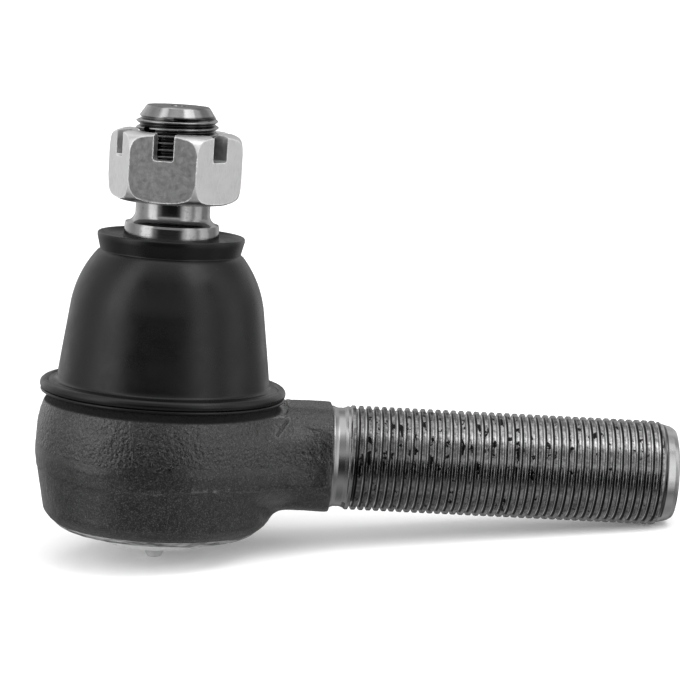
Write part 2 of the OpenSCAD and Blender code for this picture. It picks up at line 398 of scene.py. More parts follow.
def forging_material():
    """Dark forged scale: pebbled shiny skin above, finer grained below the trimmed seam, with painted shade
    on the land under the boot's bead.
    """
    s = Shader("forged_scale")
    s.bsdf.inputs["Specular IOR Level"].default_value = 0.85
    lower = s.attribute("band")
    rough_part = s.math("SUBTRACT", 1.0, s.math("MULTIPLY", lower, 0.8))
    pebbles = s.math("MULTIPLY", s.noise(1150, 2, 0.5), rough_part)
    grain = s.noise(3000, 3, 0.7)
    patches = s.noise(90, 4, 0.6)
    colour = s.mix(s.ramp(patches, (0.35, 0.0), (0.7, 1.0)), 0.003, 0.008)
    colour = s.mix(s.ramp(grain, (0.50, 0.0), (0.66, 1.0)), colour, 0.075)
    # Painted shade: the land just under the boot's bead is coloured near-black for the bead's shadow (and
    # made very rough).
    land = s.attribute("land")
    colour = s.mix(land, colour, 0.002)
    colour = s.mix(s.attribute("burr"), colour, 0.13)
    colour = s.mix(s.attribute("machined"), colour, 0.20)
    s.colour(colour)
    skin = s.math("ADD", s.noise(700, 4, 0.6), s.math("MULTIPLY", lower, 0.15))
    s.roughness(s.mix(land, s.ramp(skin, (0.3, 0.22), (0.85, 0.40)), 0.95))
    s.bump(pebbles, 0.42, 0.85)
    s.bump(grain, 0.04, 0.7)
    s.bump(s.noise(420, 4, 0.55), 0.15, 0.4)
    return s.mat


def thread_material():
    """Rolled thread: shiny crests with black oxide patches, painted shade on the flanks, painted highlight
    along the roots, clean groove.
    """
    s = Shader("oiled_thread", Metallic=1.0)
    depth = s.attribute("depth")
    share = s.math("MULTIPLY", s.axis("X"), 1 / (SHANK_END_X * MM))
    threaded = s.ramp(share, (0.360, 0.0), (0.372, 1.0))
    along = s.ramp(share, (0.34, 0.06), (0.5, 0.05), (1.0, 0.0))
    above = s.ramp(s.math("ADD", s.math("MULTIPLY", s.axis("Z"), 30.0), 0.5), (0.35, 0.0), (0.62, 0.05))
    patch = s.noise(360, 4, 0.66, distortion=0.5, vector=s.stretched((1.0, 0.75, 0.75)))
    stain = s.ramp(s.math("ADD", patch, s.math("ADD", along, above)), (0.650, 0.0), (0.675, 1.0))
    mottle = s.ramp(s.noise(900, 3, 0.6), (0.38, 0.20), (0.62, 0.46))
    mottle = s.math("MULTIPLY", mottle, s.ramp(share, (0.42, 0.62), (0.62, 1.0)))
    crest = s.mix(threaded, 0.42, s.mix(stain, mottle, 0.012))
    crest = s.mix(s.ramp(share, (0.966, 0.0), (0.974, 1.0)), crest, 0.55)
    # Painted light by thread depth: the flanks are painted dark as shade and the roots painted bright as a
    # highlight.
    painted_flank_shade = s.ramp(depth, (0.10, 0.0), (0.24, 1.0))
    root = s.ramp(depth, (0.86, 0.0), (0.95, 1.0))
    s.colour(s.mix(root, s.mix(painted_flank_shade, crest, 0.12), 0.75))
    s.roughness(s.mix(threaded, 0.26, s.ramp(s.noise(900, 3), (0.3, 0.12), (0.75, 0.24))))
    s.bump(s.noise(2600, 2), 0.02, 0.4)
    return s.mat


def turned_material(name, level, rough, lines=9000, root=None):
    """Turned or ground steel with fine rings around the stud's axis; root is the level that the 'depth'
    attribute darkens towards: painted shade in the stud's thread grooves and on its thread inside the nut,
    and its darker end face.
    """
    s = Shader(name, Metallic=1.0)
    rings = s.noise(lines, 2, 0.5, vector=s.stretched((0.02, 0.02, 1)))
    cloud = s.noise(120, 3)
    smear = s.noise(900, 3, 0.6)
    colour = s.mix(s.ramp(cloud, (0.35, 0.0), (0.7, 1.0)), level * 0.78, level)
    colour = s.mix(s.ramp(smear, (0.55, 0.0), (0.75, 0.5)), colour, level * 0.5)
    # Darkens towards root where the 'depth' attribute is high: painted shade in the thread grooves and on the
    # thread inside the nut, and the darker end face.
    if root is not None:
        colour = s.mix(s.ramp(s.attribute("depth"), (0.12, 0.0), (0.7, 1.0)), colour, root)
    s.colour(colour)
    s.roughness(s.ramp(rings, (0.3, rough * 0.8), (0.7, rough * 1.3)))
    s.bump(rings, 0.012, 0.5)
    return s.mat


def nut_material():
    """Satin bright nut with fine drawing marks, small dents, and pale edges that are partly wear and partly
    painted highlight.
    """
    s = Shader("satin_nut")
    grain = s.noise(2600, 3, 0.6, vector=s.stretched((1, 1, 0.25)))
    dents = s.noise(700, 4, 0.65)
    # Pale, less metallic outside edges: partly wear, partly a painted highlight.
    wear_and_highlight_mask = s.math("MULTIPLY", edge_wear_and_highlight(s, 0.5), s.ramp(s.noise(1500, 3, 0.7), (0.34, 0.2), (0.56, 1.0)))
    plain = s.mix(s.ramp(grain, (0.3, 0.0), (0.7, 1.0)), 0.68, 0.86)
    s.colour(s.mix(wear_and_highlight_mask, s.mix(s.ramp(s.noise(160, 4, 0.6), (0.3, 0.0), (0.7, 1.0)), plain, 0.84), 0.95))
    s.link(s.math("SUBTRACT", 1.0, s.math("MULTIPLY", wear_and_highlight_mask, 0.8)), s.bsdf.inputs["Metallic"])
    s.roughness(s.ramp(dents, (0.3, 0.34), (0.75, 0.48)))
    s.bump(grain, 0.02, 0.5)
    s.bump(dents, 0.07, 0.35)
    return s.mat


def rubber_material(name):
    """Black moulded rubber with an uneven bloom, faint flow marks and dust specks."""
    s = Shader(name)
    bloom = s.noise(75, 5, 0.62)
    dust = s.ramp(s.cells(240), (0.0, 1.0), (0.035, 0.0))
    specks = s.math("MULTIPLY", dust, s.ramp(s.noise(90, 2), (0.5, 0.0), (0.62, 0.8)))
    s.colour(s.mix(specks, s.mix(bloom, 0.001, 0.004), 0.16))
    s.roughness(s.ramp(bloom, (0.32, 0.22), (0.68, 0.42)))
    s.bsdf.inputs["Specular IOR Level"].default_value = 0.42
    s.bump(s.noise(1500, 4, 0.6), 0.025, 0.4)
    s.bump(s.noise(150, 3), 0.2, 0.25)
    return s.mat


def zinc_material():
    """Pale zinc-plated pressing."""
    s = Shader("zinc_plate", Metallic=0.35)
    cloud = s.noise(240, 4, 0.6)
    s.colour(s.mix(s.ramp(cloud, (0.3, 0.0), (0.7, 1.0)), 0.62, 0.80))
    s.roughness(s.ramp(cloud, (0.3, 0.38), (0.7, 0.55)))
    s.bump(s.noise(2200, 3), 0.02, 0.4)
    return s.mat


def lip_material():
    """Rolled lip: scraped grey steel with scale left in streaks."""
    s = Shader("rolled_lip", Metallic=0.5)
    streak = s.noise(900, 4, 0.65, vector=s.stretched((0.22, 0.22, 2.5)))
    s.colour(s.ramp(streak, (0.36, 0.08), (0.47, 0.26), (0.62, 0.5)))
    s.roughness(s.ramp(streak, (0.3, 0.55), (0.7, 0.36)))
    s.bump(streak, 0.12, 0.6)
    return s.mat


# ---------------------------------------------------------------- pieces


def polygon_distance(outline, r, z):
    """Signed distance from points (r, z) to a closed outline, negative inside."""
    best = np.full(r.shape, 1e9)
    inside = np.zeros(r.shape, bool)
    n = len(outline)
    for i in range(n):
        (ax, ay), (bx, by) = outline[i], outline[(i + 1) % n]
        ex, ey = bx - ax, by - ay
        t = np.clip(((r - ax) * ex + (z - ay) * ey) / (ex * ex + ey * ey), 0, 1)
        best = np.minimum(best, (r - ax - t * ex) ** 2 + (z - ay - t * ey) ** 2)
        if ay != by:
            crosses = (ay > z) != (by > z)
            inside ^= crosses & (r < ex * (z - ay) / ey + ax)
    return np.where(inside, -1, 1) * np.sqrt(best)


def revolved_distance(outline, x, y, z):
    """Signed distance to a body of revolution about Z, looked up in a table over radius and height."""
    step = TABLE_STEP
    radius = np.hypot(x, y)
    r_axis = np.arange(0, radius.max() + 2 * step, step)
    z_axis = np.arange(z.min() - step, z.max() + 2 * step, step)
    table = polygon_distance(outline, *np.meshgrid(r_axis, z_axis, indexing="ij"))
    u, v = radius / step, (z - z_axis[0]) / step
    i, j = np.clip(u.astype(int), 0, len(r_axis) - 2), np.clip(v.astype(int), 0, len(z_axis) - 2)
    fu, fv = u - i, v - j
    return ((1 - fu) * ((1 - fv) * table[i, j] + fv * table[i, j + 1])
            + fu * ((1 - fv) * table[i + 1, j] + fv * table[i + 1, j + 1]))


def smooth_min(a, b, k):
    """Union of two distance fields with a fillet of about k."""
    h = np.maximum(k - np.abs(a - b), 0) / k
    return np.minimum(a, b) - h * h * k / 4


def smooth_max(a, b, k):
    """Overlap of two distance fields with a rounded edge of about k."""
    return -smooth_min(-a, -b, k)


# Grid of the forging's skin and of the table behind it, and the box that it is drawn in
SKIN_STEP, TABLE_STEP = 0.38, 0.12
SKIN_LOW, SKIN_HIGH = (-35.5, -35.5, -22.6), (47.4, 35.5, 16.2)


def forging_field(x, y, z):
    """Signed distance in millimetres to the forged body and neck, with the pocket for the boot's bead."""
    outer = ([(31.9, 12.4), (32.8, 9.8), (33.45, 6.5), (33.7, 2.8), (33.7, -2), (33.1, -5.8), (31.5, -13.8),
              (30.85, -17.5)] + arc(25.4, -15.1, 5.9, -24, -52, 6) + [(27.6, -20.9), (26.8, -20.9)])
    inner = [(26.6, -18.6), (22.6, -18.4), (22.6, 9.5), (19.0, 9.6), (22.3, 12.4)]
    radius = np.hypot(x, y)
    body = revolved_distance(outer + inner, x, y, z)
    flat = smooth_max(np.abs(y), np.abs(z), 1.5) - NECK_HALF
    corner = (np.abs(y) + np.abs(z)) / math.sqrt(2) - (2 * NECK_HALF - 6) / math.sqrt(2)
    bar = smooth_max(smooth_max(flat, corner, 2.2), x - NECK_END_X, 0.5)
    bar = np.maximum(bar, 22.8 - radius)
    fillet = 14.5 - 10.0 * smoothstep(np.abs(z), 5, 13)
    solid = smooth_min(body, np.maximum(bar, 6 - x), fillet)
    pocket = np.maximum(radius - (BEAD_R + 1.0), 12.3 - z)
    solid = smooth_max(solid, -pocket, 0.6)
    land = np.maximum(np.maximum(radius - LAND_R, 22.3 - radius), np.maximum(z - LAND_Z, 12.0 - z))
    return smooth_min(solid, land, 1.6), pocket


def field_mesh(name, field, low, high, step):
    """Quad mesh of the zero surface of a field sampled on a grid."""
    axes = [np.arange(a, b + step, step) for a, b in zip(low, high)]
    x, y, z = np.meshgrid(*axes, indexing="ij", sparse=True)
    values = np.ascontiguousarray(field(x, y, z), np.float32)
    grid = openvdb.FloatGrid(background=float(step * 3))
    grid.copyFromArray(values)
    points, quads = grid.convertToQuads(0.0)
    return new_object(name, points * step + np.array(low), quads.tolist())


def make_forging():
    """Forged body and neck as one skin, with its bores, roughened as real shape."""
    forging = field_mesh("forging", lambda x, y, z: forging_field(x, y, z)[0], SKIN_LOW, SKIN_HIGH, SKIN_STEP)
    fix_normals(forging)
    relax(forging, 3)
    roughen(forging)
    forging.data.shade_smooth()
    return forging


def mesh_arrays(obj):
    """The vertices in millimetres and the edges as index pairs."""
    points = np.empty(len(obj.data.vertices) * 3)
    obj.data.vertices.foreach_get("co", points)
    edges = np.empty(len(obj.data.edges) * 2, int)
    obj.data.edges.foreach_get("vertices", edges)
    return points.reshape(-1, 3) / MM, edges.reshape(-1, 2)


def set_points(obj, points):
    """Moves the vertices to the given points, in millimetres."""
    obj.data.vertices.foreach_set("co", (points * MM).reshape(-1))
    obj.data.update()


def relax(obj, rounds):
    """Evens out the grid's staircase: each round moves every point half way to its neighbours' middle."""
    points, edges = mesh_arrays(obj)
    count = np.bincount(edges.ravel(), minlength=len(points))[:, None]
    for _ in range(rounds):
        total = np.zeros_like(points)
        for k in range(3):
            total[:, k] = (np.bincount(edges[:, 0], points[edges[:, 1], k], len(points))
                           + np.bincount(edges[:, 1], points[edges[:, 0], k], len(points)))
        points += 0.5 * (total / count - points)
    set_points(obj, points)


def fractal_noise(points, frequency, octaves=3, roughness=1.0):
    """Fixed fractal noise, about -1 to 1, at each point."""
    scaled = (points * frequency).tolist()
    return np.array([noise.fractal(Vector(p), roughness, 2.1, octaves) for p in scaled])


def segment_distance(u, v, start, end):
    """Distance of points (u, v) to a line segment."""
    (ax, ay), (bx, by) = start, end
    ex, ey = bx - ax, by - ay
    t = np.clip(((u - ax) * ex + (v - ay) * ey) / (ex * ex + ey * ey), 0, 1)
    return np.hypot(u - ax - t * ex, v - ay - t * ey)


def skin_mask(x, y, z, pocket):
    """1 on the rough skin, 0 on the bores, on the land, under the boot's bead and at the neck's end."""
    radius = np.hypot(x, y)
    outside = np.maximum(smoothstep(radius, 29.0, 30.4), smoothstep(x, 33, 36))
    outside *= smoothstep(pocket, 0.25, 1.2) * smoothstep(z, -20.7, -19.5)
    outside *= 1 - smoothstep(x, 44.5, 46.2)
    near_bead = smoothstep(z, 9.6, 11.6) * (1 - smoothstep(radius, 34.0, 35.5))
    return outside * (1 - near_bead)


def trim_nick(x, y, z):
    """A small forked cut on the neck's front side: the cut itself and the metal curled up beside it."""
    slash = np.minimum(segment_distance(x, z, (33.6, 11.3), (31.0, 8.2)),
                       segment_distance(x, z, (30.6, 10.9), (32.0, 9.6)) + 0.1)
    front = y < -8
    return np.exp(-(slash / 0.32) ** 2) * front, np.exp(-((slash - 0.7) / 0.3) ** 2) * front


def roughen(obj):
    """Forging waviness, pits, a nick and the trimmed parting band, as real shape."""
    points, _ = mesh_arrays(obj)
    normals = np.empty(len(points) * 3)
    obj.data.vertices.foreach_get("normal", normals)
    x, y, z = points.T  # views, so they follow the points when those move
    radius = np.hypot(x, y)
    _, pocket = forging_field(x, y, z)
    outside = skin_mask(x, y, z, pocket)
    wave = fractal_noise(points, 0.08)
    grit = fractal_noise(points, 0.55, 4, 0.8)
    seam = -3.0 + 0.5 * np.sin(x * 0.14) + 0.6 * wave
    band = smoothstep(z, seam - 3.5, seam - 3.1) * (1 - smoothstep(z, seam + 2.9, seam + 3.7))
    burr = np.exp(-((z - seam + 3.3 - 0.5 * grit) / 0.24) ** 2) * smoothstep(grit, -0.1, 0.4)
    burr *= smoothstep(x, -4, 3) * (1 - smoothstep(x, 20, 27)) * (0.4 + 0.6 * smoothstep(wave, -0.3, 0.3))
    nick, curl = trim_nick(x, y, z)
    lift = 0.10 * wave + (0.04 + 0.035 * smoothstep(z, -3, 1)) * grit + 0.14 * band + 0.2 * burr
    lift += -0.5 * nick + 0.15 * curl
    points += normals.reshape(-1, 3) * (lift * outside)[:, None]
    limit_r = HOUSING_HIGH[1] - 0.02 + 40 * smoothstep(x, 2, 34)
    points[:, :2] *= np.minimum(limit_r / np.maximum(np.hypot(x, y), 1), 1)[:, None]
    set_points(obj, points)
    float_attribute(obj, "band", np.clip(band + (z < seam), 0, 1))
    float_attribute(obj, "burr", np.clip(burr * outside + 0.5 * curl * outside, 0, 1))
    # 'land' marks the strip under the boot's bead that the forging material paints near-black as shade.
    float_attribute(obj, "land", smoothstep(z, 11.9, 12.5) * (1 - smoothstep(radius, 31.6, 33.4)))
    float_attribute(obj, "machined", (np.abs(pocket) < 0.35) * (x > 22) * smoothstep(radius, 32.4, 32.9))


def make_lip():
    """Rolled lip and the machined ring that it grew from."""
    low = LIP_Z
    outline = ([(27.2, low + 2.5), (28.2, low + 2.3), (28.15, low + 1.9)]
               + arc(23.9, low + 5.8, 5.75, -44, -86, 10)
               + [(23.0, low + 0.05), (21.9, low + 0.1), (21.45, low + 0.4), (21.4, low + 1.6),
                  (24.6, low + 1.7), (24.6, low + 4.3), (27.0, low + 4.3)])
    lip = revolve("rolled_lip", refine(outline, 0.6), 360, closed=True)
    points, _ = mesh_arrays(lip)
    wobble = fractal_noise(points, 0.5)
    radius = np.hypot(points[:, 0], points[:, 1])
    shown = smoothstep(radius, 21.8, 23.0) * (1 - smoothstep(points[:, 2], low + 1.9, low + 2.3))
    points[:, 2] += 0.12 * wobble * shown
    points[:, :2] *= (1 + 0.004 * wobble * shown)[:, None]
    set_points(lip, points)
    sharpen(lip, 40)
    return lip


def make_shank():
    """Shoulder, relief groove, left-hand thread and end cone, turned about +X."""
    cone_x = SHANK_END_X - END_CONE
    low, high = NECK_END_X - 0.05, SHANK_END_X - 0.45

    def envelope(h):
        groove = np.interp(h, [46.4, 46.9, 47.4, 48.0, 49.6, 50.3, 51.2],
                           [14.0, 13.95, 13.7, GROOVE_R, GROOVE_R, 13.75, SHANK_R])
        cone = np.interp(h, [cone_x, cone_x + 1.0, cone_x + 3.6, high], [SHANK_R, 13.6, 12.95, 12.45])
        return np.minimum(groove, cone)

    def fade(h):
        start = smoothstep(h, THREAD_START_X - 0.2, THREAD_START_X + 2.4)
        return start * (1 - smoothstep(h, cone_x - 0.2, cone_x + 1.4))

    shank = threaded_surface("threaded_shank", "X", (low, high), SHANK_PITCH, SHANK_THREAD_DEPTH, -1,
                             SHANK_THREAD, envelope, fade, SHANK_SEGMENTS)
    points, _ = mesh_arrays(shank)
    radius = np.hypot(points[:, 1], points[:, 2])
    depth = np.clip((envelope(points[:, 0]) - radius) / SHANK_THREAD_DEPTH, 0, 1)
    close_end(shank, high, [(12.45, high), (12.1, SHANK_END_X - 0.1), (11.6, SHANK_END_X), (3.2, SHANK_END_X),
                            (1.9, SHANK_END_X - 1.2), (0, SHANK_END_X - 2.0)], SHANK_SEGMENTS, "X")
    close_end(shank, low, [(14.0, low), (12.0, low), (0, low)], SHANK_SEGMENTS, "X")
    values = np.zeros(len(shank.data.vertices))
    values[:len(depth)] = depth
    float_attribute(shank, "depth", values)
    sharpen(shank, 60)
    return shank


def close_end(obj, height, outline, segments, axis):
    """Adds a turned end to a threaded surface, welded to it at the given height."""
    cap = revolve("cap", outline, segments, axis=axis)
    bm = bmesh.new()
    bm.from_mesh(obj.data)
    bm.from_mesh(cap.data)
    bm.to_mesh(obj.data)
    bm.free()
    bpy.data.objects.remove(cap)
    fixed = bmesh.new()
    fixed.from_mesh(obj.data)
    near = [v for v in fixed.verts if abs((v.co.x if axis == "X" else v.co.z) / MM - height) < 0.02
            or abs(math.hypot(*(v.co.yz if axis == "X" else v.co.xy))) < 1e-6]
    bmesh.ops.remove_doubles(fixed, verts=near, dist=0.05 * MM)
    bmesh.ops.recalc_face_normals(fixed, faces=fixed.faces)
    fixed.to_mesh(obj.data)
    fixed.free()


def slot_cutter(angle):
    """A bar across the nut that cuts two opposite slots, with rounded bottom corners."""
    width, corner, floor = SLOT_HALF_WIDTH, SLOT_CORNER, NUT_TOP_Z - SLOT_DEPTH
    outline = ([(-width, NUT_TOP_Z + 2)] + arc(-width + corner, floor + corner, corner, 180, 270, 4)
               + arc(width - corner, floor + corner, corner, 270, 360, 4) + [(width, NUT_TOP_Z + 2)])
    verts = [(x, y, z) for x in (-24, 24) for y, z in outline]
    n = len(outline)
    faces = [tuple(range(n)), tuple(range(2 * n - 1, n - 1, -1))]
    faces += [(j, (j + 1) % n, n + (j + 1) % n, n + j) for j in range(n)]
    slot = new_object("slot", verts, faces, smooth=False)
    fix_normals(slot)
    slot.data.transform(Matrix.Rotation(math.radians(angle), 4, "Z"))
    return slot


def stud_outline(end_z):
    """Outline of the stud from its ball over neck and taper to the relief, up to height end_z."""
    meet = math.degrees(math.acos(BALL_NECK_R / BALL_R))
    flat = math.degrees(math.asin(BALL_FLAT_Z / BALL_R))
    return ([(0, BALL_FLAT_Z)] + arc(0, 0, BALL_R, flat, meet, 40) + [(BALL_NECK_R, 17), (BALL_NECK_R, 24)]
            + arc(BALL_NECK_R + 5, 24, 5, 178, 125, 8)
            + [(TAPER_BIG_R - 1.2, TAPER_LOW_Z - 1.6), (TAPER_BIG_R - 0.15, TAPER_LOW_Z - 0.2),
               (TAPER_BIG_R, TAPER_LOW_Z), (TAPER_SMALL_R + 0.04, TAPER_TOP_Z - 0.5),
               (TAPER_SMALL_R + 0.03, TAPER_TOP_Z - 0.35), (TAPER_SMALL_R - 0.12, TAPER_TOP_Z - 0.05)]
            + arc(RELIEF_R + 2.9, TAPER_TOP_Z + 3.0, 2.9, -98, -178, 10) + [(RELIEF_R, end_z)])


def pin_hole():
    """The bar that cuts the split-pin hole across the stud."""
    hole = revolve("hole", refine([(0, -16), (PIN_HOLE_R, -16), (PIN_HOLE_R, 16), (0, 16)], 4), 40)
    fix_normals(hole, merge=0.001)
    hole.data.transform(Matrix.Translation((0, 0, PIN_HOLE_Z * MM))
                        @ Matrix.Rotation(math.radians(PIN_HOLE_ANGLE), 4, "Z")
                        @ Matrix.Rotation(math.radians(90), 4, "Y"))
    return hole


def stud_shade(stud, thread_depth):
    """How dark the stud is, 0 to 1: painted shade in its thread grooves by depth and on its thread inside the
    nut, and its darker end face.
    """
    z = mesh_arrays(stud)[0][:, 2]
    shade = np.full(len(z), 0.1)
    shade[:len(thread_depth)] = thread_depth
    shade[z > STUD_TOP_Z - 0.05] = 0.45
    # Painted shade on the thread inside the nut.
    in_nut = (z > NUT_LOW_Z + 0.5) & (z < NUT_TOP_Z - 0.6)
    shade[in_nut] = np.maximum(shade[in_nut], 0.48)
    return shade


def make_stud():
    """Ball, neck, taper, relief and right-hand thread."""
    low, high = 65.8, STUD_TOP_Z - 0.3
    cone_z = STUD_TOP_Z - STUD_CONE

    def envelope(h):
        start = np.interp(h, [low, 68.2, 69.2], [RELIEF_R, RELIEF_R, STUD_THREAD_R])
        return np.minimum(start, np.interp(h, [cone_z - 0.9, cone_z - 0.2, cone_z, high],
                                           [STUD_THREAD_R, 10.6, 10.4, 8.6]))

    def fade(h):
        return smoothstep(h, 68.0, 69.6) * (1 - smoothstep(h, cone_z - 0.4, cone_z + 0.3))

    stud = threaded_surface("threaded_stud", "Z", (low, high), STUD_PITCH, STUD_THREAD_DEPTH, 1, STUD_THREAD,
                            envelope, fade, STUD_SEGMENTS, phase=0.2)
    points, _ = mesh_arrays(stud)
    depth = np.clip((envelope(points[:, 2]) - np.hypot(points[:, 0], points[:, 1])) / STUD_THREAD_DEPTH, 0, 1)
    top = [(8.6, high), (8.3, STUD_TOP_Z), (2.3, STUD_TOP_Z), (1.2, STUD_TOP_Z - 1.8), (0, STUD_TOP_Z - 2.6)]
    close_end(stud, high, top, STUD_SEGMENTS, "Z")
    close_end(stud, low, refine(stud_outline(low), 1.6), STUD_SEGMENTS, "Z")
    float_attribute(stud, "depth", stud_shade(stud, depth))
    boolean(stud, pin_hole(), "DIFFERENCE")
    sharpen(stud, 42)
    return stud


def hexagon_bar(name, corner_r, first_angle, low, high, smooth):
    """A six-sided bar between two heights, with its first corner at first_angle degrees."""
    angles = [math.radians(first_angle + 60 * k) for k in range(6)]
    ring = [(corner_r * math.cos(a), corner_r * math.sin(a)) for a in angles]
    verts = [(x, y, low) for x, y in ring] + [(x, y, high) for x, y in ring]
    faces = [tuple(range(5, -1, -1)), tuple(range(6, 12))]
    faces += [(k, (k + 1) % 6, 6 + (k + 1) % 6, 6 + k) for k in range(6)]
    return new_object(name, verts, faces, smooth)


def nut_chamfer():
    """The body of revolution that rounds both ends of the nut off."""
    round_off = [(14.7, 0), (15.6, 0.3), (16.4, 0.62), (17.1, 1.05), (17.55, 1.6), (17.85, 2.3), (18.05, 3.1),
                 (18.2, 4.1), (18.7, 7.5)]
    chamfer = revolve("chamfer", [(0, NUT_LOW_Z)] + [(r, NUT_LOW_Z + 1.25 * d) for r, d in round_off]
                      + [(r, NUT_TOP_Z - d) for r, d in reversed(round_off)] + [(0, NUT_TOP_Z)], 288)
    fix_normals(chamfer, merge=0.001)
    return chamfer


def nut_bore():
    """The bar that cuts the nut's bore, with a countersink at each end."""
    r, wide = STUD_THREAD_R + NUT_BORE_GAP, STUD_THREAD_R + NUT_BORE_GAP + 1.3
    bore = revolve("bore", [(0, NUT_LOW_Z - 1), (wide, NUT_LOW_Z - 1), (wide, NUT_LOW_Z),
                            (r, NUT_LOW_Z + 1.2), (r, NUT_TOP_Z - 1.2), (wide, NUT_TOP_Z),
                            (wide, NUT_TOP_Z + 1), (0, NUT_TOP_Z + 1)], 144)
    fix_normals(bore, merge=0.001)
    return bore


def make_nut():
    """Slotted hexagon with rounded chamfered ends."""
    corner_r = NUT_AF / 2 / math.cos(math.radians(30))
    nut = hexagon_bar("castle_nut", corner_r, NUT_ANGLE + 30, NUT_LOW_Z, NUT_TOP_Z, smooth=True)
    fix_normals(nut)
    boolean(nut, nut_chamfer(), "INTERSECT")
    boolean(nut, nut_bore(), "DIFFERENCE")
    for k in range(3):
        boolean(nut, slot_cutter(NUT_ANGLE + 60 * k), "DIFFERENCE")
    fix_normals(nut, merge=0.004)
    bevel = nut.modifiers.new("edges", "BEVEL")
    bevel.width, bevel.segments, bevel.limit_method = 0.32 * MM, 2, "ANGLE"
    bevel.angle_limit = math.radians(22)
    nut.data.shade_smooth()
    weighted = nut.modifiers.new("flat_faces", "WEIGHTED_NORMAL")
    weighted.weight, weighted.keep_sharp = 100, False
    apply_modifiers(nut)
    return nut


def boot_outline():
    """Closed outline (radius, height) of the boot's rubber, from the foot up and back down inside."""
    rim_r = 19.9
    bell, bell_r = (-2.5, 34.8), 28.95

    def angle(r, z):
        return math.degrees(math.asin((z - bell[1]) / r))

    outer = ([(31.2, 14.8), (32.4, 14.8)] + arc(32.75, 15.2, 0.4, -70, 70, 6) + [(32.62, 15.72)]
             + arc(31.95, 16.75, BEAD_R - 31.95, -42, 108, 14)
             + [(31.4, 17.85), (31.15, 17.62), (30.85, 17.85)]
             + arc(29.9, 19.2, 1.15, -80, -172, 8) + [(28.6, 20.5), (28.1, 24.5)]
             + arc(*bell, bell_r, angle(bell_r, 38), angle(bell_r, 53.3), 22)
             + arc(19.25, 53.95, 0.25, 250, 150, 4)
             + [(19.15, 54.6), (rim_r, RIM_Z - 1.0)] + arc(rim_r - 0.5, RIM_Z - 0.5, 0.5, -20, 120, 7)
             + [(18.9, RIM_Z - 0.35), (18.3, RIM_Z - 0.95), (15.4, RIM_Z - 1.55), (15.0, RIM_Z - 1.3),
                (14.4, RIM_Z - 1.3), (13.9, RIM_Z - 1.8), (13.35, RIM_Z - 2.1)])
    inner_r = bell_r - BOOT_WALL
    inner = ([(13.35, 54.0), (13.8, 53.4), (16.4, 52.2)]
             + arc(*bell, inner_r, angle(inner_r, 51), angle(inner_r, 38), 12)
             + [(25.8, 24), (25.8, 16.8), (28.35, 16.8), (28.35, 15.75), (31.2, 15.75)])
    return outer + inner


def make_boot():
    """The boot as two pieces that meet in one ring: the lower bell and the upper bell with its collar."""
    loop = refine(boot_outline(), BOOT_STEP)
    return clip_boot("boot_bell", loop, keep_low=True), clip_boot("boot_collar", loop, keep_low=False)


def clip_boot(name, loop, keep_low):
    """Revolves the part of the closed outline below or above the split height."""
    n = len(loop)
    side = [(p[1] <= BOOT_SPLIT) == keep_low for p in loop]
    start = next(i for i in range(n) if side[i] and not side[i - 1])
    run = []
    for k in range(n):
        i = (start + k) % n
        if not side[i]:
            break
        run.append(loop[i])

    def crossing(i, j):
        (r0, z0), (r1, z1) = loop[i % n], loop[j % n]
        t = (BOOT_SPLIT - z0) / (z1 - z0)
        return (r0 + (r1 - r0) * t, BOOT_SPLIT)

    first = crossing(start - 1, start)
    last = crossing(start + len(run) - 1, start + len(run))
    obj = revolve(name, [first] + run + [last], BOOT_SEGMENTS)
    obj.data.shade_smooth()
    sharpen(obj, 50)
    return obj


def make_cover():
    """Dished cover plate with a shallow pressed step around the nipple."""
    top, low = COVER_HIGH[2], COVER_LOW[2]
    outline = [(3.2, low + 0.35), (6.2, low + 0.05), (7.4, low), (13.4, low)]
    outline += arc(13.6, low + 1.6, 1.6, -88, -46, 6)
    outline += [(18.6, low + 3.8), (20.0, low + 4.9), (20.9, low + 5.1), (24.35, low + 5.15), (24.35, top),
                (19.6, top), (13, low + 2.6), (3.2, low + 2.6)]
    cover = revolve("cover_dish", refine(outline, 1.0), 200, closed=True)
    sharpen(cover, 40)
    return cover


def make_nipple():
    """Grease nipple: thread, hexagon, neck and coned head."""
    low, top, hex_low = NIPPLE_LOW[2], NIPPLE_HIGH[2], COVER_LOW[2] - 1.2
    outline = [(0.8, low), (1.75, low), (1.95, low + 0.2), (3.1, low + 2.2), (3.2, low + 2.4),
               (3.05, low + 2.6), (2.3, low + 2.8), (2.3, hex_low), (3.1, hex_low), (3.1, top), (0.8, top)]
    body = revolve("nipple_body", refine(outline, 0.5), 64, closed=True)
    corner_r = NIPPLE_AF / 2 / math.cos(math.radians(30))
    hexagon = hexagon_bar("hexagon", corner_r, 10, hex_low, COVER_LOW[2] + 0.2, smooth=False)
    bevel = hexagon.modifiers.new("edges", "BEVEL")
    bevel.width, bevel.segments = 0.3 * MM, 2
    apply_modifiers(hexagon)
    nipple = join("grease_nipple", [body, hexagon])
    nipple.data.shade_smooth()
    sharpen(nipple, 35)
    return nipple


